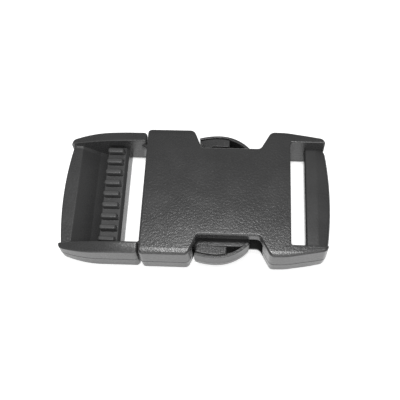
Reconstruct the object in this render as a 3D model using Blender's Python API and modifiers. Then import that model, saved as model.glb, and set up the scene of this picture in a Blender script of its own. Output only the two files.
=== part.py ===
"""Side-release buckle for 25 mm webbing: socket, plug frame, ladder bar and two latch arms.

Units are metres.  +X points to the socket's web-bar end, +Y to the left of the
plug's pull direction, +Z up.  The origin is under the middle of the closed
buckle, on the plane it rests on.
"""
import bpy
import bmesh
import math
from mathutils import Matrix, Vector

MM = 1.0          # outlines, rounding and cuts are worked in millimetres ...
TO_M = 0.001      # ... and each finished piece is turned into metres once

# ---------------------------------------------------------------- dimensions (mm)
# socket
SOCKET_H = 9.86          # overall height of the socket
SOCKET_HW = 16.30        # half width of the socket's collar
SOCKET_HW2 = 16.20       # half width at its webbing end
MOUTH_X = -12.05         # open end that takes the plug
END_X = 30.95            # end of the two webbing rails
NOTCH_HW = 11.35         # half width between the finger notches
NOTCH_B = -0.90          # full width ends here
NOTCH_C = 1.12           # notch floor starts
NOTCH_D = 15.21          # notch floor ends
NOTCH_E = 17.75          # full width starts again
TAPER_X = 21.4           # where the webbing end starts to taper
TAPER_END_Y = 14.52      # half width at the end corner
SLOT_X = 22.28           # inner face of the webbing slot
SLOT_HW = 13.25          # half length of the webbing slot
CAV_Z0, CAV_Z1 = 1.20, 7.50
CAV_HW = 14.20           # cavity half width in the collar
CAV_HW2 = 12.90          # cavity half width beyond the notches
CAV_END = 19.90
EDGE_R = 0.42
GUIDE_Y0, GUIDE_Y1 = 4.00, 5.20
GUIDE_X0 = 2.0

# socket web bar
WEB_X0 = 25.93
WEB_X1 = 31.80
WEB_Z0, WEB_Z1 = 2.66, 6.04
WEB_BULGE_R = 88.0

# plug frame
MID_Z = 4.35             # mid plane of the plug
RAIL_Z0, RAIL_ZT = 0.20, 8.92
RAIL_LEAN = 0.20         # fall of the rail top per mm, inner to outer edge
RAIL_Y0, RAIL_Y1 = 13.20, 15.92
RAIL_X1 = -12.40         # ends of the rails next to the socket mouth
RAIL_X0 = -31.30
BASE_X0, BASE_X1 = -12.40, -9.20
BASE_HW = 13.80
BASE_Z0, BASE_Z1 = 1.60, 7.10
ENDBAR_X = -31.90
ENDBAR_R = 82.0
LIP_X = -22.55           # low inner lip of the end bar
GATE_Y, GATE_P = 0.9, 0.20   # moulding gate: place along the bar, and how far it stands out

# ladder bar
RIB_N = 9
RIB_PITCH = 2.93
RIB_W = 1.05
RIB_TOP = 6.85
LAD_BASE = 5.75
LAD_Z0 = 0.50            # the bar's slot side reaches down to here

# latch arms and centre guide
GAP = 0.30
ARM_X0 = BASE_X1 + GAP
ARM_PIV_Y = 11.30
PAD_Z0, PAD_Z1 = 1.50, 7.20
BEAM_Z0, BEAM_Z1 = 2.60, 6.10
PAD_PEAK_X, PAD_PEAK_Y, PAD_R = 5.20, 15.88, 10.0
SHOULDER_Y = 11.35        # inner end of the lock shoulder
TIP_X = 13.30             # free tip of the arms

# ---------------------------------------------------------------- scene set-up
for ob in list(bpy.data.objects):
    bpy.data.objects.remove(ob, do_unlink=True)
for col in list(bpy.data.collections):
    bpy.data.collections.remove(col)

ROOT = bpy.data.collections.new("side_release_buckle")
CUT = bpy.data.collections.new("cutters")
bpy.context.scene.collection.children.link(ROOT)
bpy.context.scene.collection.children.link(CUT)


def material(name, grey, rough):
    m = bpy.data.materials.new(name)
    m.use_nodes = True
    b = m.node_tree.nodes["Principled BSDF"]
    b.inputs["Base Color"].default_value = (grey, grey, grey * 1.02, 1.0)
    b.inputs["Roughness"].default_value = rough
    m.diffuse_color = (grey, grey, grey, 1.0)
    return m


# ---------------------------------------------------------------- 2-D helpers
def arc(cx, cy, r, a0, a1, n):
    """Points on an arc, angles in degrees, ends included."""
    out = []
    for i in range(n + 1):
        a = math.radians(a0 + (a1 - a0) * i / n)
        out.append((cx + r * math.cos(a), cy + r * math.sin(a)))
    return out


def fillet(pts, radii, n=5):
    """Round the corners of a closed polygon; radii is one value per corner."""
    out = []
    m = len(pts)
    for i in range(m):
        p = Vector(pts[i])
        a = Vector(pts[i - 1]) - p
        b = Vector(pts[(i + 1) % m]) - p
        r = radii[i]
        if r <= 0:
            out.append((p.x, p.y))
            continue
        la, lb = a.length, b.length
        a.normalize()
        b.normalize()
        ang = a.angle(b)
        t = r / math.tan(ang / 2)
        t = min(t, 0.48 * la, 0.48 * lb)
        rr = t * math.tan(ang / 2)
        bis = (a + b).normalized()
        c = p + bis * (rr / math.sin(ang / 2))
        s = p + a * t - c
        e = p + b * t - c
        a0 = math.atan2(s.y, s.x)
        a1 = math.atan2(e.y, e.x)
        d = (a1 - a0 + math.pi) % (2 * math.pi) - math.pi
        for k in range(n + 1):
            w = a0 + d * k / n
            out.append((c.x + rr * math.cos(w), c.y + rr * math.sin(w)))
    return out


def mirror_y(half):
    """Closed outline from an upper half listed from low x to high x."""
    low = [(x, -y) for x, y in reversed(half)]
    return half + low


# ---------------------------------------------------------------- 3-D helpers
def to_mesh_object(name, tmp, col):
    dg = bpy.context.evaluated_depsgraph_get()
    dg.update()
    me = bpy.data.meshes.new_from_object(tmp.evaluated_get(dg))
    mw = tmp.matrix_world.copy()
    cu = tmp.data
    bpy.data.objects.remove(tmp, do_unlink=True)
    bpy.data.curves.remove(cu)
    bm = bmesh.new()
    bm.from_mesh(me)
    bmesh.ops.remove_doubles(bm, verts=bm.verts, dist=1e-4)
    bm.transform(mw)
    bmesh.ops.recalc_face_normals(bm, faces=bm.faces)
    # each flat cap becomes one face, so edge rounding runs clean round its rim
    bmesh.ops.dissolve_limit(bm, angle_limit=math.radians(0.5), verts=bm.verts, edges=bm.edges)
    bm.to_mesh(me)
    bm.free()
    me.name = name
    ob = bpy.data.objects.new(name, me)
    col.objects.link(ob)
    if col is CUT:
        ob.hide_render = True
        ob.display_type = 'WIRE'
    return ob


def prism(name, pts, lo, hi, axis='Z', col=CUT):
    """Flat outline (mm) extruded from lo to hi along Z, or an XZ outline along Y."""
    cu = bpy.data.curves.new(name + "_outline", 'CURVE')
    cu.dimensions = '2D'
    cu.fill_mode = 'BOTH'
    sp = cu.splines.new('POLY')
    sp.points.add(len(pts) - 1)
    for p, (x, y) in zip(sp.points, pts):
        p.co = (x * MM, y * MM, 0.0, 1.0)
    sp.use_cyclic_u = True
    cu.extrude = (hi - lo) * 0.5 * MM
    tmp = bpy.data.objects.new(name + "_tmp", cu)
    bpy.context.scene.collection.objects.link(tmp)
    mid = (hi + lo) * 0.5 * MM
    if axis == 'Z':
        tmp.matrix_world = Matrix.Translation((0, 0, mid))
    else:
        tmp.matrix_world = Matrix.Translation((0, mid, 0)) @ Matrix.Rotation(math.radians(90), 4, 'X')
    bpy.context.view_layer.update()
    return to_mesh_object(name, tmp, col)


def box(name, x0, x1, y0, y1, z0, z1, col=CUT):
    bm = bmesh.new()
    bmesh.ops.create_cube(bm, size=1.0)
    for v in bm.verts:
        v.co = Vector(((x0 + x1) / 2 + v.co.x * (x1 - x0),
                       (y0 + y1) / 2 + v.co.y * (y1 - y0),
                       (z0 + z1) / 2 + v.co.z * (z1 - z0))) * MM
    me = bpy.data.meshes.new(name)
    bm.to_mesh(me)
    bm.free()
    ob = bpy.data.objects.new(name, me)
    col.objects.link(ob)
    if col is CUT:
        ob.hide_render = True
        ob.display_type = 'WIRE'
    return ob


def bevel(ob, w, seg=2, angle=35, clamp=True):
    m = ob.modifiers.new("edge_round", 'BEVEL')
    m.width = w * MM
    m.segments = seg
    m.limit_method = 'ANGLE'
    m.angle_limit = math.radians(angle)
    m.use_clamp_overlap = clamp
    m.harden_normals = False
    return m


def boolean(ob, other, op):
    m = ob.modifiers.new(op.lower() + "_" + other.name, 'BOOLEAN')
    m.operation = op
    m.solver = 'EXACT'
    m.object = other
    return m


def settle(ob):
    """Apply the modifier stack and tidy the mesh, still in millimetres."""
    bpy.context.view_layer.update()
    dg = bpy.context.evaluated_depsgraph_get()
    dg.update()
    me = bpy.data.meshes.new_from_object(ob.evaluated_get(dg))
    ob.modifiers.clear()
    bm = bmesh.new()
    bm.from_mesh(me)
    bmesh.ops.remove_doubles(bm, verts=bm.verts, dist=2e-3)
    bmesh.ops.dissolve_degenerate(bm, edges=bm.edges, dist=1e-3)
    bmesh.ops.recalc_face_normals(bm, faces=bm.faces)
    bm.to_mesh(me)
    bm.free()
    old = ob.data
    ob.data = me
    me.name = ob.name
    bpy.data.meshes.remove(old)
    return ob


def bake(ob, origin=(0.0, 0.0, 0.0)):
    """Finish a piece: apply its modifiers, turn it into metres, set its origin (mm)."""
    settle(ob)
    o = Vector(origin)
    ob.data.transform(Matrix.Scale(TO_M, 4) @ Matrix.Translation(-o))
    ob.location = o * TO_M
    return ob


def smooth(ob, angle=32):
    for p in ob.data.polygons:
        p.use_smooth = True
    bm = bmesh.new()
    bm.from_mesh(ob.data)
    for e in bm.edges:
        if len(e.link_faces) == 2:
            e.smooth = e.calc_face_angle(0.0) < math.radians(angle)
    bm.to_mesh(ob.data)
    bm.free()


# ================================================================ socket housing
half = []
half += [(MOUTH_X, SOCKET_HW)]
raw = [(MOUTH_X, SOCKET_HW), (NOTCH_B, SOCKET_HW), (NOTCH_C, NOTCH_HW),
       (NOTCH_D, NOTCH_HW), (NOTCH_E, SOCKET_HW2), (TAPER_X, SOCKET_HW2 - 0.10),
       (END_X - 0.25, TAPER_END_Y - 0.10), (END_X, 12.6)]
rad = [0.9, 1.5, 0.9, 1.3, 1.6, 14.0, 3.0, 0.0]
full = raw + [(x, -y) for x, y in reversed(raw)]
frad = rad + list(reversed(rad))
outline = fillet(full, frad, 5)

socket = prism("socket_housing", outline, 0.0, SOCKET_H, col=ROOT)
bevel(socket, EDGE_R, 3, 50, clamp=False)

# the webbing end is open between its two rails; the web bar sits in there
slot_pts = fillet([(SLOT_X, SLOT_HW), (END_X + 4, SLOT_HW), (END_X + 4, -SLOT_HW), (SLOT_X, -SLOT_HW)],
                  [0.5, 0, 0, 0.5], 3)
slot = prism("cut_web_slot", slot_pts, -2, SOCKET_H + 2)
boolean(socket, slot, 'DIFFERENCE')

# inside: one flat cavity, open at the mouth and at both notches
cav_half = [(MOUTH_X - 3, CAV_HW), (10.0, CAV_HW), (10.0, CAV_HW2), (CAV_END, CAV_HW2)]
cav_pts = fillet(cav_half + [(x, -y) for x, y in reversed(cav_half)],
                 [0, 0, 0, 1.2, 1.2, 0, 0, 0], 4)
cavity = prism("cut_cavity", cav_pts, CAV_Z0, CAV_Z1)
# two guide ribs stay standing inside the cavity, from roof to floor
for s in (1, -1):
    g = fillet([(GUIDE_X0, s * GUIDE_Y0), (GUIDE_X0, s * GUIDE_Y1),
                (CAV_END + 1, s * GUIDE_Y1), (CAV_END + 1, s * GUIDE_Y0)], [0.5, 0.5, 0, 0], 3)
    rib = prism("keep_guide_rib_%s" % ("left" if s > 0 else "right"), g, CAV_Z0 - 1, CAV_Z1 + 1)
    boolean(cavity, rib, 'DIFFERENCE')
boolean(socket, cavity, 'DIFFERENCE')
# lead-in chamfer round the mouth
lead = prism("cut_lead_in", [(MOUTH_X - 1.0, CAV_Z0 - 0.85), (MOUTH_X + 0.6, CAV_Z0 + 0.2),
                             (MOUTH_X + 0.6, CAV_Z1 - 0.2), (MOUTH_X - 1.0, CAV_Z1 + 0.85)],
             -CAV_HW, CAV_HW, axis='Y')
boolean(socket, lead, 'DIFFERENCE')
bake(socket)
smooth(socket)

# ================================================================ socket web bar
bar_pts = fillet([(WEB_X0, WEB_Z0), (WEB_X0, WEB_Z1), (WEB_X1 + 1.5, WEB_Z1), (WEB_X1 + 1.5, WEB_Z0)],
                 [0.85, 0.85, 0, 0], 4)
webbar = prism("socket_web_bar", bar_pts, -(SLOT_HW - GAP), SLOT_HW - GAP, axis='Y', col=ROOT)
# bowed outer edge
ends = []
for i in range(25):
    y = -16.0 + 32.0 * i / 24
    ends.append((WEB_X1 - y * y / (2 * WEB_BULGE_R), y))
trim = prism("keep_web_bar_plan", [(WEB_X0 - 2, -16.0)] + ends + [(WEB_X0 - 2, 16.0)], -2, 12)
boolean(webbar, trim, 'INTERSECT')
bevel(webbar, 0.55, 3, 50)
bake(webbar)
smooth(webbar, 40)

# ================================================================ plug frame
# side profile shared by both rails: nearly level, then falling toward the pull end
side = [(RAIL_X1 + 1, RAIL_Z0), (RAIL_X1 + 1, RAIL_ZT), (-15.5, RAIL_ZT)]
for i in range(1, 15):
    d = (32.6 - 15.5) * i / 14
    side.append((-15.5 - d, RAIL_ZT - 0.0081 * d * d - 0.006 * d))
side += [(-32.6, RAIL_Z0 + 1.6), (-31.0, RAIL_Z0 + 0.45), (-28.6, RAIL_Z0)]

rail_half = [(RAIL_X1, RAIL_Y0), (RAIL_X1, RAIL_Y1), (-21.6, RAIL_Y1)]
for i in range(1, 7):
    d = 7.7 * i / 6
    rail_half.append((-21.6 - d, RAIL_Y1 - d * d / 58.0))
rail_half += [(RAIL_X0, 14.2), (RAIL_X0, RAIL_Y0)]
rail_rad = [0.0, 1.1, 0] + [0] * 6 + [1.2, 0.3]
rail_out = fillet(rail_half, rail_rad, 4)
rail = prism("plug_frame", rail_out, -1, 12, col=ROOT)
sidep = prism("keep_rail_side", side, 10, 18, axis='Y')
# the top of each rail leans outward: lower along its outer edge
for v in sidep.data.vertices:
    if v.co.z > 4.0:
        v.co.z -= RAIL_LEAN * (v.co.y - RAIL_Y0)
boolean(rail, sidep, 'INTERSECT')
bevel(rail, 0.5, 3, 50, clamp=False)
mir = rail.modifiers.new("mirror", 'MIRROR')
mir.use_axis = (False, True, False)
mir.use_clip = False
mir.merge_threshold = 0.0001

# end bar: flat strip outside, long slope down to a low inner lip
eb = fillet([(-33.5, 0.9), (-33.5, 5.55), (-28.6, 5.25), (-24.7, 2.35), (LIP_X, 1.30), (LIP_X, 0.45), (-30.9, 0.45)],
            [0, 0, 0.8, 1.6, 0.35, 0.25, 0.8], 3)
endbar = prism("plug_end_bar", eb, -13.9, 13.9, axis='Y')
ends = []
for i in range(25):
    y = -16.0 + 32.0 * i / 24
    ends.append((ENDBAR_X + y * y / (2 * ENDBAR_R), y))
trim2 = prism("keep_end_bar_plan", ends + [(-20.0, 16.0), (-20.0, -16.0)], -2, 12)
boolean(endbar, trim2, 'INTERSECT')
bevel(endbar, 0.45, 3, 50)
boolean(rail, endbar, 'UNION')

# base bar that slides into the mouth, with small gussets to the rails
bb_half = [(BASE_X0 - 1.3, RAIL_Y0 + 0.25), (BASE_X0 - 1.3, RAIL_Y0 - 0.05), (BASE_X0, RAIL_Y0 - 1.1)]
bb = [(BASE_X1, BASE_HW), (BASE_X1, -BASE_HW), (BASE_X0 - 0.55, -BASE_HW), (BASE_X0 - 1.3, -(RAIL_Y0 + 0.25)),
      (BASE_X0 - 1.3, -(RAIL_Y0 - 0.05)), (BASE_X0, -(RAIL_Y0 - 1.1)), (BASE_X0, RAIL_Y0 - 1.1),
      (BASE_X0 - 1.3, RAIL_Y0 - 0.05), (BASE_X0 - 1.3, RAIL_Y0 + 0.25), (BASE_X0 - 0.55, BASE_HW)]
base = prism("plug_base_bar", fillet(bb, [0.5, 0.5, 0, 0, 0, 0.5, 0.5, 0, 0, 0], 3), BASE_Z0, BASE_Z1)
bevel(base, 0.3, 2, 60)
boolean(rail, base, 'UNION')
# small moulding gate left on the outer edge of the end bar
gate = box("plug_gate", ENDBAR_X - GATE_P, ENDBAR_X + 0.6, GATE_Y - 0.45, GATE_Y + 0.45, 2.9, 4.1)
bevel(gate, 0.12, 1, 60)
boolean(rail, gate, 'UNION')
bake(rail, (RAIL_X1, 0.0, MID_Z))
smooth(rail)

# ================================================================ ladder bar
lad = fillet([(-22.1, 5.05), (-22.1, LAD_BASE), (-18.1, LAD_BASE), (-16.95, 4.7), (-16.95, LAD_Z0), (-18.0, LAD_Z0), (-20.2, 2.9)],
             [0.3, 0.3, 0.5, 0.5, 0.35, 0.35, 0.8], 3)
ladder = prism("plug_ladder_bar", lad, -(RAIL_Y0 - GAP), RAIL_Y0 - GAP, axis='Y', col=ROOT)
# one tooth, repeated along the bar
tooth_pts = [(-21.9, 5.0), (-21.9, RIB_TOP), (-18.25, RIB_TOP), (-17.45, 5.3), (-17.45, 4.5), (-18.2, 4.5)]
y0 = -RIB_PITCH * (RIB_N - 1) / 2
teeth = prism("ladder_teeth", tooth_pts, y0 - RIB_W / 2, y0 + RIB_W / 2, axis='Y')
bevel(teeth, 0.25, 2, 50)
arr = teeth.modifiers.new("row", 'ARRAY')
arr.count = RIB_N
arr.use_relative_offset = False
arr.use_constant_offset = True
arr.constant_offset_displace = (0, RIB_PITCH * MM, 0)
settle(teeth)
boolean(ladder, teeth, 'UNION')
bake(ladder)
smooth(ladder, 40)

# ================================================================ centre guide
cg = [(ARM_X0, -3.9), (-6.2, -3.1), (11.2, -3.1), (14.2, -1.7), (14.2, 1.7), (11.2, 3.1), (-6.2, 3.1), (ARM_X0, 3.9)]
guide = prism("plug_centre_guide", fillet(cg, [0.3, 3.0, 1.5, 1.2, 1.2, 1.5, 3.0, 0.3], 4), 2.2, 6.5, col=ROOT)
bevel(guide, 0.35, 2, 50)
for nm, z0, z1 in (("top", 5.2, 9.0), ("bottom", -1.0, 3.5)):
    pk = prism("cut_guide_pocket_" + nm, fillet([(-5.5, -1.9), (10.6, -1.9), (10.6, 1.9), (-5.5, 1.9)],
                                                [0.8] * 4, 4), z0, z1)
    boolean(guide, pk, 'DIFFERENCE')
bake(guide, (ARM_X0, 0.0, MID_Z))
smooth(guide)


# ================================================================ latch arms
def pad_outer():
    """Outer edge of the thumb pad, from the lock shoulder to the tip (left side)."""
    pts = []
    for i in range(7):                       # gentle rise to the crown
        x = 0.15 + (PAD_PEAK_X - 0.15) * i / 6
        pts.append((x, PAD_PEAK_Y - (x - PAD_PEAK_X) ** 2 / 31.0))
    for i in range(1, 12):                   # round shoulder down to the tip
        x = PAD_PEAK_X + (TIP_X - 0.3 - PAD_PEAK_X) * i / 11
        pts.append((x, PAD_PEAK_Y - PAD_R + math.sqrt(PAD_R ** 2 - (x - PAD_PEAK_X) ** 2)))
    return pts


def inset(pts, d):
    """Open curve moved d to its right-hand side (into the pad)."""
    out = []
    n = len(pts)
    for i in range(n):
        a = Vector(pts[max(i - 1, 0)])
        b = Vector(pts[min(i + 1, n - 1)])
        t = (b - a).normalized()
        out.append((pts[i][0] + t.y * d, pts[i][1] - t.x * d))
    return out


def make_arm(name, s):
    po = pad_outer()

    def side_(pts):
        return pts if s > 0 else [(x, -y) for x, y in pts]

    # beam: the flexing strip from the root to the free tip
    beam = [(ARM_X0, 12.9), (-6.0, 12.15), (12.2, 12.15), (TIP_X - 0.35, 11.7),
            (TIP_X - 0.1, 11.0), (TIP_X - 0.3, 10.45), (-6.0, 10.45), (ARM_X0, 9.7)]
    arm = prism(name, fillet(side_(beam), [0.2, 3, 0.5, 0.4, 0.4, 0.3, 3, 0.2], 3),
                BEAM_Z0, BEAM_Z1, col=ROOT)
    bevel(arm, 0.3, 2, 50)

    # web plate between the beam and the outer wall, set low so that it leaves a pocket
    edge = [p for p in inset(po, 0.45) if 0.6 < p[0] < 12.2]
    web = [(0.95, 11.2), (0.95, 13.0)] + edge + [(12.1, 11.2)]
    w = prism(name + "_web", side_(web), 2.85, 4.05)
    boolean(arm, w, 'UNION')

    # outer wall of the pad, full height, running round to the tip
    outer = po
    inner = inset(po, 0.95)
    inner = [(max(x, 0.35), y) for x, y in inner]
    wall = prism(name + "_wall", side_(outer + list(reversed(inner))), PAD_Z0, PAD_Z1)
    bevel(wall, 0.28, 2, 50)
    boolean(arm, wall, 'UNION')

    # raised grip block with its lock shoulder parallel to the notch wall
    top = [p for p in inset(po, 0.35) if 0.3 < p[0] < 7.6]
    # the shoulder runs in along the notch wall and stops over the beam
    blk = [(0.30, top[0][1] - 0.05)] + top[1:] + [(7.65, top[-1][1] - 0.05), (7.65, 13.1), (3.75, 13.1),
                                                  (3.15, SHOULDER_Y), (2.05, SHOULDER_Y)]
    k = prism(name + "_grip", side_(blk), PAD_Z0 - 0.05, PAD_Z1 + 0.05)
    bevel(k, 0.25, 2, 50)
    boolean(arm, k, 'UNION')
    bake(arm, (ARM_X0, s * ARM_PIV_Y, MID_Z))
    smooth(arm)
    return arm


arm_l = make_arm("latch_arm_left", 1)
arm_r = make_arm("latch_arm_right", -1)

# ---------------------------------------------------------------- materials
black = 0.030
for ob, name, g, r in ((socket, "socket_black", black, 0.48), (webbar, "web_bar_black", black * 1.05, 0.46),
                       (rail, "plug_black", black * 1.1, 0.50), (ladder, "ladder_black", black * 1.15, 0.52),
                       (guide, "guide_black", black, 0.50), (arm_l, "arm_left_black", black * 1.05, 0.50),
                       (arm_r, "arm_right_black", black * 1.05, 0.50)):
    ob.data.materials.clear()
    ob.data.materials.append(material(name, g, r))
    for p in ob.data.polygons:
        p.material_index = 0

# the cutters have done their work
for o in list(CUT.objects):
    bpy.data.objects.remove(o, do_unlink=True)
bpy.data.collections.remove(CUT)
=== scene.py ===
"""Looks of the side-release buckle: the two black mouldings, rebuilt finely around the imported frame."""
import math

import bmesh
import bpy
from mathutils import Matrix, Vector


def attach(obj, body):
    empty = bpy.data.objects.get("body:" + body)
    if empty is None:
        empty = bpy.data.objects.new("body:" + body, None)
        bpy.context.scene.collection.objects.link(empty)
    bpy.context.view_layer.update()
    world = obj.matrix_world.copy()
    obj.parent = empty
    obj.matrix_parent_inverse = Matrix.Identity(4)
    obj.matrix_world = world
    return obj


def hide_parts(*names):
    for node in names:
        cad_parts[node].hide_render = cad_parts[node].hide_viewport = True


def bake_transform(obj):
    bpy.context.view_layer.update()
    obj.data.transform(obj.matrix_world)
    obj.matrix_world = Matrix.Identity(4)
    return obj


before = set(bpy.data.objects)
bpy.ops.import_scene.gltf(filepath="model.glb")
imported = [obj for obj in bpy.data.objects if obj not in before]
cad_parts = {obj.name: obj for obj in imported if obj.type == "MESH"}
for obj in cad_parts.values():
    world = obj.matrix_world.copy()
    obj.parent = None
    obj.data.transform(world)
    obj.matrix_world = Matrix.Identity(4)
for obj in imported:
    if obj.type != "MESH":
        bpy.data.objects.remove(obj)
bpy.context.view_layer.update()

WORK = bpy.data.collections.new("buckle_visual")
bpy.context.scene.collection.children.link(WORK)
TO_M = 0.001          # shapes are worked in millimetres and turned into metres at the end

# ------------------------------------------------------------------ outlines
def ccw(pts):
    a = sum(pts[i - 1][0] * pts[i][1] - pts[i][0] * pts[i - 1][1] for i in range(len(pts)))
    return list(pts) if a > 0 else list(reversed(pts))


def fillet(pts, radii, n=6):
    """Round the corners of a closed polygon; one radius for each corner."""
    out = []
    m = len(pts)
    for i in range(m):
        p = Vector(pts[i])
        a = Vector(pts[i - 1]) - p
        b = Vector(pts[(i + 1) % m]) - p
        r = radii[i]
        if r <= 0:
            out.append((p.x, p.y))
            continue
        la, lb = a.length, b.length
        a.normalize()
        b.normalize()
        ang = a.angle(b)
        t = min(r / math.tan(ang / 2), 0.48 * la, 0.48 * lb)
        rr = t * math.tan(ang / 2)
        c = p + (a + b).normalized() * (rr / math.sin(ang / 2))
        s = p + a * t - c
        e = p + b * t - c
        a0 = math.atan2(s.y, s.x)
        d = (math.atan2(e.y, e.x) - a0 + math.pi) % (2 * math.pi) - math.pi
        for k in range(n + 1):
            w = a0 + d * k / n
            out.append((c.x + rr * math.cos(w), c.y + rr * math.sin(w)))
    return out


def inset(pts, d):
    """Move a closed counter-clockwise outline inward by d (outward when negative)."""
    if abs(d) < 1e-9:
        return list(pts)
    out = []
    n = len(pts)
    for i in range(n):
        p0, p1, p2 = Vector(pts[i - 1]), Vector(pts[i]), Vector(pts[(i + 1) % n])
        e1 = (p1 - p0).normalized()
        e2 = (p2 - p1).normalized()
        n1 = Vector((-e1.y, e1.x))
        n2 = Vector((-e2.y, e2.x))
        m = (n1 + n2).normalized()
        q = p1 + m * (d / max(m.dot(n1), 0.4))
        out.append((q.x, q.y))
    return out


def shift(pts, d):
    """Open curve moved d to its right-hand side; d may differ from point to point."""
    out = []
    n = len(pts)
    for i in range(n):
        t = (Vector(pts[min(i + 1, n - 1)]) - Vector(pts[max(i - 1, 0)])).normalized()
        k = d[i] if isinstance(d, (list, tuple)) else d
        out.append((pts[i][0] + t.y * k, pts[i][1] - t.x * k))
    return out


def span(pts, x0, x1, gap=0.22):
    """Part of a curve between two x values, with end points exactly there and no crowded points beside them."""
    def at(x):
        for (ax, ay), (bx, by) in zip(pts, pts[1:]):
            if ax <= x <= bx:
                return (x, ay + (by - ay) * (x - ax) / max(bx - ax, 1e-9))
        return (x, pts[0][1] if x < pts[0][0] else pts[-1][1])
    return [at(x0)] + [p for p in pts if x0 + gap < p[0] < x1 - gap] + [at(x1)]


def quarter(e, r):
    """How far a round rim of radius r has dropped at distance e from its end."""
    e = min(max(e, 0.0), r)
    return r - math.sqrt(max(r * r - (r - e) ** 2, 0.0))


def smoothstep(x, a, b):
    t = min(max((x - a) / (b - a), 0.0), 1.0)
    return t * t * (3 - 2 * t)


# ------------------------------------------------------------------ solids
def link(name, bm):
    bmesh.ops.recalc_face_normals(bm, faces=bm.faces)
    me = bpy.data.meshes.new(name)
    bm.to_mesh(me)
    bm.free()
    ob = bpy.data.objects.new(name, me)
    WORK.objects.link(ob)
    return ob


def loft(name, rings):
    """Closed solid through rings of equal point counts."""
    bm = bmesh.new()
    rows = [[bm.verts.new(p) for p in r] for r in rings]
    n = len(rings[0])
    for a, b in zip(rows, rows[1:]):
        for i in range(n):
            j = (i + 1) % n
            bm.faces.new((a[i], a[j], b[j], b[i]))
    bm.faces.new(list(reversed(rows[0])))
    bm.faces.new(rows[-1])
    return link(name, bm)


def stack(pts, z0, z1, rb, rt, n=6, db=0.0, dt=0.0, part=None, gd=0.07, gw=0.2):
    """Rings of an outline from z0 to z1: round rims, draft above and below the parting height, thin line at it."""
    pts = ccw(pts)
    prof = []
    if rb > 0:
        for k in range(n + 1):
            t = math.pi / 2 * k / n
            prof.append((z0 + rb * (1 - math.cos(t)), db + rb * (1 - math.sin(t))))
    else:
        prof.append((z0, db))
    if part is not None:
        prof += [(part - gw / 2 - 0.05, 0.0), (part - gw / 2, gd), (part + gw / 2, gd), (part + gw / 2 + 0.05, 0.0)]
    if rt > 0:
        for k in range(n + 1):
            t = math.pi / 2 * k / n
            prof.append((z1 - rt * (1 - math.sin(t)), dt + rt * (1 - math.cos(t))))
    else:
        prof.append((z1, dt))
    return [[(x, y, z) for x, y in inset(pts, d)] for z, d in prof]


def plate(name, pts, z0, z1, rb=0.0, rt=0.0, **k):
    return loft(name, stack(pts, z0, z1, rb, rt, **k))


def flared(name, pts, z0, z1, r, over=1.5, n=5):
    """Cutter whose two mouths widen by r, so that the hole it makes has round rims."""
    pts = ccw(pts)
    prof = [(z0 - over, -r), (z0, -r)]
    for k in range(1, n + 1):
        t = math.pi / 2 * k / n
        prof.append((z0 + r * math.sin(t), -(r - r * math.sqrt(max(1 - (1 - math.sin(t)) ** 2, 0.0)))))
    for k in range(n - 1, -1, -1):
        t = math.pi / 2 * k / n
        prof.append((z1 - r * math.sin(t), -(r - r * math.sqrt(max(1 - (1 - math.sin(t)) ** 2, 0.0)))))
    prof.append((z1 + over, -r))
    return loft(name, [[(x, y, z) for x, y in inset(pts, d)] for z, d in prof])


def combine(ob, other, op):
    m = ob.modifiers.new("b", 'BOOLEAN')
    m.operation = op
    m.solver = 'EXACT'
    m.object = other
    bpy.context.view_layer.update()
    dg = bpy.context.evaluated_depsgraph_get()
    me = bpy.data.meshes.new_from_object(ob.evaluated_get(dg))
    ob.modifiers.clear()
    old = ob.data
    ob.data = me
    bpy.data.meshes.remove(old)
    mo = other.data
    bpy.data.objects.remove(other, do_unlink=True)
    bpy.data.meshes.remove(mo)
    bm = bmesh.new()
    bm.from_mesh(me)
    bmesh.ops.remove_doubles(bm, verts=bm.verts, dist=2e-4)
    bmesh.ops.dissolve_degenerate(bm, edges=bm.edges, dist=2e-4)
    bm.to_mesh(me)
    bm.free()
    return ob


def join(obs, name):
    """Put several separate solids in one mesh."""
    bm = bmesh.new()
    for o in obs:
        bm.from_mesh(o.data)
        me = o.data
        bpy.data.objects.remove(o, do_unlink=True)
        bpy.data.meshes.remove(me)
    return link(name, bm)


def done(ob, mat, sharp=34):
    """Tidy a finished solid, note each point's place at rest (mm), turn it into metres and shade it."""
    me = ob.data
    bm = bmesh.new()
    bm.from_mesh(me)
    bmesh.ops.remove_doubles(bm, verts=bm.verts, dist=1e-3)
    bmesh.ops.dissolve_degenerate(bm, edges=bm.edges, dist=5e-4)
    bmesh.ops.recalc_face_normals(bm, faces=bm.faces)
    for f in bm.faces:
        f.smooth = True
    for e in bm.edges:
        e.smooth = len(e.link_faces) == 2 and e.calc_face_angle(0.0) < math.radians(sharp)
    bm.to_mesh(me)
    bm.free()
    at = me.attributes.new("rest_mm", 'FLOAT_VECTOR', 'POINT')
    flat = [c for v in me.vertices for c in v.co]
    at.data.foreach_set("vector", flat)
    me.transform(Matrix.Scale(TO_M, 4))
    me.name = ob.name
    me.materials.clear()
    me.materials.append(mat)
    for p in me.polygons:
        p.material_index = 0
    w = ob.modifiers.new("weighted_normals", 'WEIGHTED_NORMAL')
    w.keep_sharp = True
    w.weight = 60
    return ob


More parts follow.
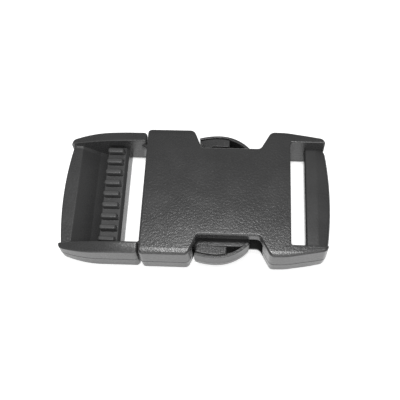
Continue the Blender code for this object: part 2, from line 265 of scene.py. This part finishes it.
# ------------------------------------------------------------------ plastic
def plastic(name, lo, hi, rough, grain=1.0, seed=0.0, rim_highlight_gain=1.0):
    """Black moulded acetal: spark-eroded grain, faint flow clouding, and a painted highlight that makes the rims paler
    and a little less rough, broken up by noise.
    """
    m = bpy.data.materials.new(name)
    m.use_nodes = True
    nt = m.node_tree
    N, L = nt.nodes, nt.links
    N.clear()

    def node(kind, **k):
        x = N.new(kind)
        for a, v in k.items():
            setattr(x, a, v)
        return x

    out = node('ShaderNodeOutputMaterial')
    bsdf = node('ShaderNodeBsdfPrincipled')
    L.new(bsdf.outputs[0], out.inputs[0])
    rest = node('ShaderNodeAttribute', attribute_name="rest_mm")
    mp = node('ShaderNodeMapping')
    mp.inputs['Location'].default_value = (seed, seed * 0.7, -seed * 0.4)
    L.new(rest.outputs['Vector'], mp.inputs['Vector'])
    P = mp.outputs[0]

    def noise(scale, detail=2.0, rough_=0.5, dist=0.0):
        x = node('ShaderNodeTexNoise')
        x.inputs['Scale'].default_value = scale
        x.inputs['Detail'].default_value = detail
        x.inputs['Roughness'].default_value = rough_
        x.inputs['Distortion'].default_value = dist
        L.new(P, x.inputs['Vector'])
        return x.outputs[0]

    def ramp(src, a, b, va=0.0, vb=1.0):
        x = node('ShaderNodeMapRange')
        x.interpolation_type = 'SMOOTHSTEP'
        x.inputs['From Min'].default_value = a
        x.inputs['From Max'].default_value = b
        x.inputs['To Min'].default_value = va
        x.inputs['To Max'].default_value = vb
        L.new(src, x.inputs['Value'])
        return x.outputs[0]

    def math_(op, a, b=None):
        x = node('ShaderNodeMath', operation=op)
        for i, v in enumerate((a, b)):
            if v is None:
                continue
            if isinstance(v, (int, float)):
                x.inputs[i].default_value = v
            else:
                L.new(v, x.inputs[i])
        return x.outputs[0]

    # grain of the mould: two sizes of pits
    coarse = noise(2.0, 1.5, 0.5)
    fine = noise(8.0, 2.0, 0.6)
    pit = node('ShaderNodeTexVoronoi', feature='SMOOTH_F1')
    pit.inputs['Scale'].default_value = 5.5
    L.new(P, pit.inputs['Vector'])
    cloud = noise(0.16, 3.0, 0.5, 0.4)
    speck = ramp(fine, 0.38, 0.68)

    # rims: painted highlight, a paler colour and slightly lower roughness along the edges, broken up by noise
    bev = node('ShaderNodeBevel', samples=6)
    bev.inputs['Radius'].default_value = 0.00035
    geo = node('ShaderNodeNewGeometry')
    dot = node('ShaderNodeVectorMath', operation='DOT_PRODUCT')
    L.new(bev.outputs[0], dot.inputs[0])
    L.new(geo.outputs['Normal'], dot.inputs[1])
    edge = ramp(dot.outputs['Value'], 0.995, 0.90)
    painted_rim_highlight = math_('MULTIPLY', edge, ramp(noise(0.8, 3.0, 0.6), 0.35, 0.65, 0.35, 1.0))

    col = node('ShaderNodeMix', data_type='RGBA')
    col.inputs[6].default_value = (lo, lo, lo * 1.01, 1)
    col.inputs[7].default_value = (hi, hi, hi * 1.01, 1)
    f = math_('ADD', math_('MULTIPLY', cloud, 0.6), math_('MULTIPLY', speck, 0.4))
    L.new(f, col.inputs[0])
    # painted highlight: the colour is blended toward a paler grey along the rims
    rim_highlight_mix = node('ShaderNodeMix', data_type='RGBA')
    L.new(math_('MULTIPLY', painted_rim_highlight, 0.55 * rim_highlight_gain), rim_highlight_mix.inputs[0])
    L.new(col.outputs[2], rim_highlight_mix.inputs[6])
    rim_highlight_mix.inputs[7].default_value = (hi * 2.3, hi * 2.3, hi * 2.32, 1)
    L.new(rim_highlight_mix.outputs[2], bsdf.inputs['Base Color'])

    r = math_('ADD', ramp(fine, 0.3, 0.7, rough - 0.05, rough + 0.06), ramp(cloud, 0.3, 0.7, -0.02, 0.025))
    r = math_('SUBTRACT', r, math_('MULTIPLY', painted_rim_highlight, 0.05 * rim_highlight_gain))
    L.new(r, bsdf.inputs['Roughness'])
    bsdf.inputs['IOR'].default_value = 1.49

    h = math_('ADD', math_('MULTIPLY', coarse, 0.66), math_('MULTIPLY', fine, 0.20))
    h = math_('ADD', h, math_('MULTIPLY', pit.outputs['Distance'], 0.24))
    bump = node('ShaderNodeBump')
    bump.inputs['Strength'].default_value = 1.0
    bump.inputs['Distance'].default_value = 0.000042 * grain
    L.new(h, bump.inputs['Height'])
    L.new(bump.outputs[0], bsdf.inputs['Normal'])
    return m


MAT = {
    "socket": plastic("moulded_socket", 0.025, 0.036, 0.26, grain=1.15, seed=3.1),
    "web_bar": plastic("moulded_web_bar", 0.024, 0.035, 0.31, grain=0.45, seed=11.7),
    "plug": plastic("moulded_plug", 0.029, 0.041, 0.28, grain=0.9, seed=27.3),
    # the ladder bar's ribs get twice the painted rim highlight
    "ladder": plastic("moulded_ladder", 0.042, 0.058, 0.32, grain=0.5, seed=41.9, rim_highlight_gain=2.0),
    "guide": plastic("moulded_guide", 0.024, 0.035, 0.32, grain=0.5, seed=58.2),
    "arm_l": plastic("moulded_arm_left", 0.026, 0.038, 0.31, grain=1.1, seed=63.4),
    "arm_r": plastic("moulded_arm_right", 0.026, 0.038, 0.31, grain=1.1, seed=77.8),
}

# ================================================================== socket
CROWN, ROLL = 0.0009, 0.110     # the top is slightly domed, and falls a little faster beside the long edges
H = 9.86
HW, HW2, NHW = 16.30, 16.20, 11.35
MOUTH_X, END_X = -12.15, 30.95
SLOT_X, SLOT_HW = 22.28, 13.25
raw = [(MOUTH_X, HW), (-0.90, HW), (1.12, NHW), (15.21, NHW), (17.75, HW2), (21.4, HW2 - 0.10),
       (END_X - 0.50, 14.50), (END_X - 0.12, 12.4)]
rad = [1.0, 1.5, 0.9, 1.3, 1.6, 14.0, 1.9, 0.0]
full = raw + [(x, -y) for x, y in reversed(raw)]
outline = fillet(full, rad + list(reversed(rad)), 9)
socket = plate("socket_shell", outline, 0.0, H, 0.70, 0.48, n=8, db=0.28, dt=0.0, part=4.35)

slot = [(SLOT_X, SLOT_HW), (END_X - 0.55, SLOT_HW)]
for k in range(1, 6):
    t = math.pi / 2 * k / 5
    slot.append((END_X - 0.55 + 0.45 * math.sin(t), SLOT_HW + 0.45 * (1 - math.cos(t))))
slot += [(END_X - 0.10, SLOT_HW + 1.2), (END_X + 3, SLOT_HW + 1.2)]
slot = slot + [(x, -y) for x, y in reversed(slot)]
rr = [0.0] * len(slot)
rr[0] = rr[-1] = 0.5
combine(socket, flared("cut_slot", fillet(slot, rr, 5), 0.0, H, 0.24), 'DIFFERENCE')

cav = [(MOUTH_X - 3, 14.2), (10.0, 14.2), (10.0, 12.9), (19.9, 12.9)]
cav = fillet(cav + [(x, -y) for x, y in reversed(cav)], [0, 0, 0, 1.2, 1.2, 0, 0, 0], 6)
cavity = plate("cut_cavity", cav, 1.2, 7.5)
for s in (1, -1):
    g = fillet([(2.0, s * 4.0), (2.0, s * 5.2), (21.0, s * 5.2), (21.0, s * 4.0)], [0.55, 0.55, 0, 0], 4)
    combine(cavity, plate("keep_rib", g, 0.2, 8.5), 'DIFFERENCE')
combine(socket, cavity, 'DIFFERENCE')
lead = []
for y in (-14.2, 14.2):
    lead.append([(MOUTH_X - 1.0, y, 0.35), (MOUTH_X + 0.6, y, 1.4), (MOUTH_X + 0.6, y, 7.3), (MOUTH_X - 1.0, y, 8.35)])
combine(socket, loft("cut_lead", lead), 'DIFFERENCE')
# the top rolls off toward the two long edges
bm = bmesh.new()
bm.from_mesh(socket.data)
for y in (1.5, 3.0, 4.5, 6.0, 7.5, 9.0, 10.3, 12.6, 13.9, 14.8, 14.9, 15.0, 15.15, 15.3, 15.5, 15.7, 15.85):
    for s in (1, -1):
        bmesh.ops.bisect_plane(bm, geom=bm.verts[:] + bm.edges[:] + bm.faces[:], dist=1e-4, plane_co=(0, s * y, 0), plane_no=(0, 1, 0))
for v in bm.verts:
    if v.co.z < 4.2 and v.co.x > 26.0:      # the end corners tuck in underneath
        v.co.y -= math.copysign(0.34 * ((v.co.x - 26.0) / 4.7) ** 2 * (1 - v.co.z / 4.2) * smoothstep(abs(v.co.y), 13.55, 14.35), v.co.y)
    v.co.z -= (CROWN * v.co.y ** 2 + ROLL * max(0.0, abs(v.co.y) - 14.8) ** 1.5) * smoothstep(v.co.z, 7.6, 9.2)
bm.to_mesh(socket.data)
bm.free()
done(socket, MAT["socket"])

# fixed bar that the sewn strap loops round
rings = []
for i in range(49):
    y = -13.32 + 26.64 * i / 48
    xe = 31.8 - y * y / 176.0 - 0.32 * smoothstep(abs(y), 12.3, 13.3)
    sec = fillet([(25.93, 2.66), (xe, 2.75), (xe, 5.95), (28.8, 6.10), (25.93, 6.0)], [0.7, 0.75, 0.7, 6.0, 0.5], 6)
    rings.append([(x, y, z) for x, z in sec])
webbar = loft("socket_web_bar_shell", rings)
done(webbar, MAT["web_bar"])

# ================================================================== plug
X1, X0 = -12.40, -31.30


def rail_ring(x, s):
    e0, e1 = X1 - x, x - X0
    f = max(0.0, -21.6 - x)
    yo = 15.92 - f * f / 60.0 - quarter(e0, 1.0) - quarter(e1, 1.1)
    yi = 13.20 + quarter(e0, 0.3) + quarter(e1, 0.35)
    d = max(0.0, -15.5 - x)
    zt = 8.92 - 0.0081 * d * d - 0.006 * d - quarter(e0, 0.45) - quarter(e1, 0.7)
    zb = 0.2 + 0.55 * (f / 9.7) ** 2 + quarter(e0, 0.35) + quarter(e1, 0.4)
    w = yo - yi
    top = [(yo - w * k, zt - 0.50 * (w / 2.7) * (1 - k) ** 1.8) for k in (0.25, 0.45, 0.65, 0.82)]
    zo = zt - 0.50 * (w / 2.7)
    p = 4.20
    sec = [(yi, zb), (yo - 0.10 - 0.0035 * f * f, zb), (yo, p - 0.15), (yo - 0.07, p - 0.1), (yo - 0.07, p + 0.1), (yo, p + 0.15),
           (yo - 0.03, zo)] + top + [(yi, zt)]
    sec = fillet(sec, [0.35, 0.5, 0, 0, 0, 0, 0.40, 0, 0, 0, 0, 0.36], 6)
    return [(x, s * y, z) for y, z in sec]


def stations(a, b, r, step):
    """Places along a run, closer together in its round ends."""
    xs = []
    for k in range(8):
        xs.append(a + r * (1 - math.cos(math.pi / 2 * k / 7)))
    n = max(2, int((b - r - (a + r)) / step))
    for k in range(1, n):
        xs.append(a + r + (b - a - 2 * r) * k / n)
    for k in range(7, -1, -1):
        xs.append(b - r * (1 - math.cos(math.pi / 2 * k / 7)))
    return xs


XS = stations(X0, X1, 1.2, 0.7)
plug = None
rails = [loft("rail_%d" % (s + 1), [rail_ring(x, s) for x in XS]) for s in (1, -1)]
plug = join(rails, "plug_frame_shell")

# pull-end bar: flat strip, long slope and a low lip for the webbing to slide over
rings = []
for i in range(65):
    y = -13.6 + 27.2 * i / 64
    xe = -31.92 + y * y / 164.0
    up = 0.45 - math.sqrt(max(0.45 ** 2 - (min(max(abs(y) - 12.75, 0.0), 0.45)) ** 2, 0.0))
    sec = [(xe, 0.62), (xe, 5.45 + up), (-28.6, 5.28 + up), (-24.7, 2.35 + up), (-22.6, 1.35 + up), (-22.6, 0.45), (-30.6, 0.45)]
    sec = fillet(sec, [0.35, 0.42, 0.9, 1.6, 0.35, 0.25, 0.6], 6)
    rings.append([(x, y, z) for x, z in sec])
combine(plug, loft("end_bar", rings), 'UNION')
# gate left by the moulding
g = plate("gate", fillet([(-32.08, 0.5), (-32.08, 1.3), (-31.2, 1.4), (-31.2, 0.4)], [0.2, 0.2, 0, 0], 4), 2.95, 4.05, 0.15, 0.15, n=3)
combine(plug, g, 'UNION')
# cross bar in the mouth of the socket, with a small web to each rail
bb = [(-9.2, 13.8), (-9.2, -13.8), (-12.95, -13.8), (-12.95, -14.9), (-14.6, -14.9), (-14.6, -13.877), (-12.4, -12.1),
      (-12.4, 12.1), (-14.6, 13.877), (-14.6, 14.9), (-12.95, 14.9), (-12.95, 13.8)]
combine(plug, plate("base_bar", fillet(bb, [0.5, 0.5, 0, 0, 0, 0, 0.5, 0.5, 0, 0, 0, 0], 5), 1.6, 7.1, 0.3, 0.3, n=4), 'UNION')
done(plug, MAT["plug"])

# ribbed bar that grips the webbing
rings = []
for i in range(3):
    y = -13.5 + 13.5 * i
    sec = fillet([(-22.1, 4.55), (-22.1, 5.25), (-17.75, 5.25), (-17.05, 4.5), (-16.72, 0.5), (-18.0, 0.5), (-20.2, 2.9)],
                 [0.3, 0.3, 0.5, 0.3, 0.4, 0.35, 0.8], 6)
    rings.append([(x, y, z) for x, z in sec])
ladder = loft("ladder_bar_shell", rings)


def tooth_rings(yc):
    out = []
    prof = [(4.6, 0.0), (5.25, 0.0), (6.0, 0.0)]
    r = 0.30
    for k in range(6):
        t = math.pi / 2 * k / 5
        prof.append((6.85 - r * (1 - math.sin(t)), r * (1 - math.cos(t))))
    for z, d in prof:
        hw = 0.70 - 0.07 * max(0.0, z - 5.3)
        xr = -17.45 - 0.75 * max(0.0, z - 5.2) / 1.55 - (0.35 if z < 5.3 else 0.0)
        pill = fillet([(-22.0, yc - hw), (xr, yc - hw), (xr, yc + hw), (-22.0, yc + hw)], [0.5, 0.40, 0.40, 0.5], 5)
        out.append([(x, y, z) for x, y in inset(ccw(pill), d)])
    return out


teeth = [loft("tooth_%d" % k, tooth_rings(2.93 * (k - 4))) for k in range(9)]
for t in teeth:
    combine(ladder, t, 'UNION')
done(ladder, MAT["ladder"])

# middle tongue that steers the plug between the ribs of the socket
cg = [(-9.5, -3.9), (-8.9, -3.9), (-6.2, -3.1), (11.2, -3.1), (14.2, -1.7), (14.2, 1.7), (11.2, 3.1), (-6.2, 3.1), (-8.9, 3.9), (-9.5, 3.9)]
guide = plate("centre_guide_shell", fillet(cg, [0, 0.5, 3.0, 1.5, 1.2, 1.2, 1.5, 3.0, 0.5, 0], 5), 2.2, 6.5, 0.35, 0.35, n=4)
for z0, z1 in ((5.2, 8.0), (0.0, 3.5)):
    combine(guide, plate("cut_pocket", fillet([(-5.5, -1.9), (10.6, -1.9), (10.6, 1.9), (-5.5, 1.9)], [0.8] * 4, 5), z0, z1), 'DIFFERENCE')
done(guide, MAT["guide"])


# ================================================================== latch arms
def pad_curve():
    """Outer edge of the thumb pad, from the lock shoulder to the free tip (left side)."""
    pts = []
    for i in range(11):
        x = 0.35 + (5.2 - 0.35) * i / 10
        pts.append((x, 16.05 - (x - 5.2) ** 2 / 31.0))
    for i in range(1, 23):
        x = 5.2 + (13.0 - 5.2) * i / 22
        pts.append((x, 6.05 + math.sqrt(100.0 - (x - 5.2) ** 2)))
    return pts


def arm(name, s, mat):
    po = pad_curve()
    n = len(po)

    def side(pts):
        return pts if s > 0 else [(x, -y) for x, y in pts]

    # flexing beam, its root sunk in the cross bar
    beam = [(-9.6, 12.9), (-8.9, 12.9), (-6.0, 12.15), (-0.6, 12.15), (1.2, 12.74), (11.2, 12.74), (12.95, 11.75), (13.15, 11.0), (12.95, 10.45),
            (-2.0, 10.45), (-6.0, 10.45), (-8.9, 9.7), (-9.6, 9.7)]
    pts = fillet(beam, [0, 0.5, 3, 2, 2, 0.6, 0.4, 0.4, 0.3, 0, 3, 0.5, 0], 5)
    fine = []
    for i in range(len(pts)):       # extra points along the beam, about 0.9 mm apart
        a, b = Vector(pts[i]), Vector(pts[(i + 1) % len(pts)])
        k = max(1, int((b - a).length / 0.9))
        for j in range(k):
            q = a.lerp(b, j / k)
            fine.append((q.x, q.y))
    body = plate(name, side(fine), 2.6, 6.1, 0.3, 0.32, n=4)

    # low web between the beam and the rim
    web = [(1.2, 11.2), (1.2, 13.0)] + span(shift(po, 0.42), 1.2, 12.2) + [(12.2, 11.2)]
    combine(body, plate("web", side(web), 2.0, 2.8), 'UNION')

    # rim: thin beside the grip block, thicker round the shoulder
    th = [0.62 + 0.20 * smoothstep(p[0], 7.5, 8.4) for p in po]
    rim = po + list(reversed(shift(po, th)))
    rd = [0.0] * len(rim)
    rd[0] = rd[-1] = 0.2
    rd[n - 1] = rd[n] = 0.25
    rim_ob = plate("rim", side(fillet(rim, rd, 4)), 1.28, 7.2, 0.22, 0.17, n=5, db=0.05, dt=0.02, part=3.95, gd=0.06, gw=0.16)
    for v in rim_ob.data.vertices:      # below the parting line the side leans back in
        if v.co.z < 3.9:
            v.co.y -= s * 0.40 * ((3.9 - v.co.z) / 2.4)
    combine(body, rim_ob, 'UNION')

    # grip block: its base meets the rim, its top is parted from it by a groove
    a = span(shift(po, 0.30), 0.80, 7.72)
    base = a + [(7.72, 13.05), (3.60, 13.05), (3.12, 12.28), (2.0, 12.28)]
    combine(body, plate("block_base", side(base), 2.4, 6.62), 'UNION')
    a = span(shift(po, 0.90), 0.62, 7.66)
    top = a + [(7.66, 13.09), (3.66, 13.09), (3.18, 12.26), (2.04, 12.26)]
    rd = [0.2] + [0.0] * (len(a) - 2) + [0.2, 0.2, 0.2, 0.2, 0.2]
    combine(body, plate("block_top", side(fillet(top, rd, 4)), 5.6, 7.14, 0.0, 0.12, n=4), 'UNION')
    # thumb grip: low ribs across the block, broken into short lengths
    low = []
    for i in range(9):
        x = 1.85 + 0.66 * i
        y1 = span(shift(po, 1.15), x, x + 0.1)[0][1]
        y0 = 13.35 if x > 3.2 else 12.5 + 0.9 * max(0.0, (2.5 - x))
        m_ = max(1, int((y1 - y0) / 0.62))
        for j in range(m_):
            ya, yb = y0 + (y1 - y0) * (j + 0.14) / m_, y0 + (y1 - y0) * (j + 0.86) / m_
            q = [(x - 0.17, ya), (x + 0.17, ya), (x + 0.17, yb), (x - 0.17, yb)]
            rings = [[(cx, cy, z) for cx, cy in inset(ccw(side(fillet(q, [0.08] * 4, 2))), d)] for z, d in ((7.05, 0.0), (7.19, 0.0), (7.24, 0.06))]
            low.append(loft("nub", rings))
    combine(body, join(low, "nubs"), 'UNION')
    done(body, mat)
    return body


arm_l = arm("latch_arm_left_shell", 1, MAT["arm_l"])
arm_r = arm("latch_arm_right_shell", -1, MAT["arm_r"])

# ================================================================== which body each socket and plug piece moves with; the CAD parts they replace are hidden, and the arms are only baked into place
for ob, body, nodes, slot_ in ((socket, "socket", ["socket_housing"], "socket_black"),
                               (webbar, "socket", ["socket_web_bar"], "web_bar_black"),
                               (plug, "plug", ["plug_frame"], "plug_black"),
                               (ladder, "plug", ["plug_ladder_bar"], "ladder_black"),
                               (guide, "plug", ["plug_centre_guide"], "guide_black")):
    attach(ob, body)
    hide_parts(*nodes)
for ob, body, node_, slot_, y in ((arm_l, "arm_left", "latch_arm_left", "arm_left_black", 0.0113),
                                  (arm_r, "arm_right", "latch_arm_right", "arm_right_black", -0.0113)):
    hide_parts(node_)
    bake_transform(ob)

# ================================================================== floor, light, camera
bm = bmesh.new()
bmesh.ops.create_grid(bm, x_segments=8, y_segments=8, size=0.9)
floor = link("floor", bm)
floor.location = (0, 0, -0.00003)
fm = bpy.data.materials.new("pale_floor")
fm.use_nodes = True
fb = fm.node_tree.nodes["Principled BSDF"]
tx = fm.node_tree.nodes.new('ShaderNodeTexNoise')
tx.inputs['Scale'].default_value = 30
cr = fm.node_tree.nodes.new('ShaderNodeMapRange')
cr.inputs['To Min'].default_value = 0.86
cr.inputs['To Max'].default_value = 0.89
cc = fm.node_tree.nodes.new('ShaderNodeCombineColor')
tc = fm.node_tree.nodes.new('ShaderNodeTexCoord')
fm.node_tree.links.new(tc.outputs['Object'], tx.inputs['Vector'])
fm.node_tree.links.new(tx.outputs[0], cr.inputs['Value'])
for i in range(3):
    fm.node_tree.links.new(cr.outputs[0], cc.inputs[i])
fm.node_tree.links.new(cc.outputs[0], fb.inputs['Base Color'])
fb.inputs['Emission Color'].default_value = (1, 1, 1, 1)
fb.inputs['Emission Strength'].default_value = 0.5
fb.inputs['Roughness'].default_value = 0.9
fb.inputs['Specular IOR Level'].default_value = 0.1
floor.data.materials.append(fm)


def area(name, loc, target, sx, sy, power):
    d = bpy.data.lights.new(name, 'AREA')
    d.shape = 'ELLIPSE'
    d.size, d.size_y = sx, sy
    d.energy = power
    o = bpy.data.objects.new(name, d)
    bpy.context.scene.collection.objects.link(o)
    o.location = loc
    o.rotation_mode = 'QUATERNION'
    o.rotation_quaternion = (Vector(target) - Vector(loc)).to_track_quat('-Z', 'Y')
    return o


area("key", (-0.004, 0.034, 0.31), (0, 0.0, 0), 0.044, 0.028, 0.28)
area("strip", (0.004, 0.009, 0.31), (0.004, -0.016, 0), 0.090, 0.022, 0.22)
area("fill_high", (0.03, -0.20, 0.40), (0, 0, 0), 0.26, 0.26, 0.62)
area("fill_low", (-0.02, -0.46, 0.17), (0, 0, 0.004), 0.60, 0.16, 0.95)
world = bpy.data.worlds.new("studio")
bpy.context.scene.world = world
world.use_nodes = True
bg = world.node_tree.nodes["Background"]
bg.inputs[0].default_value = (1, 1, 1, 1)
bg.inputs[1].default_value = 0.33

cam_d = bpy.data.cameras.new("camera")
cam = bpy.data.objects.new("camera", cam_d)
bpy.context.scene.collection.objects.link(cam)
az, el, roll = math.radians(-6.948), math.radians(64.001), math.radians(-4.773)
fwd = Vector((math.sin(az) * math.cos(el), math.cos(az) * math.cos(el), -math.sin(el)))
right = Vector((math.cos(az), -math.sin(az), 0.0))
up = right.cross(fwd)
r2 = right * math.cos(roll) + up * math.sin(roll)
u2 = -right * math.sin(roll) + up * math.cos(roll)
loc = (Vector((0.778, 1.911, 0.0)) - fwd * 174.708) * 0.001
M = Matrix.Identity(4)
for i in range(3):
    M[i][0], M[i][1], M[i][2], M[i][3] = r2[i], u2[i], -fwd[i], loc[i]
cam.matrix_world = M
cam_d.sensor_width = 36.0
cam_d.lens = 708.973 * 36.0 / 400.0
cam_d.clip_start, cam_d.clip_end = 0.005, 20.0
bpy.context.scene.camera = cam
bpy.context.scene.view_settings.view_transform = 'Standard'
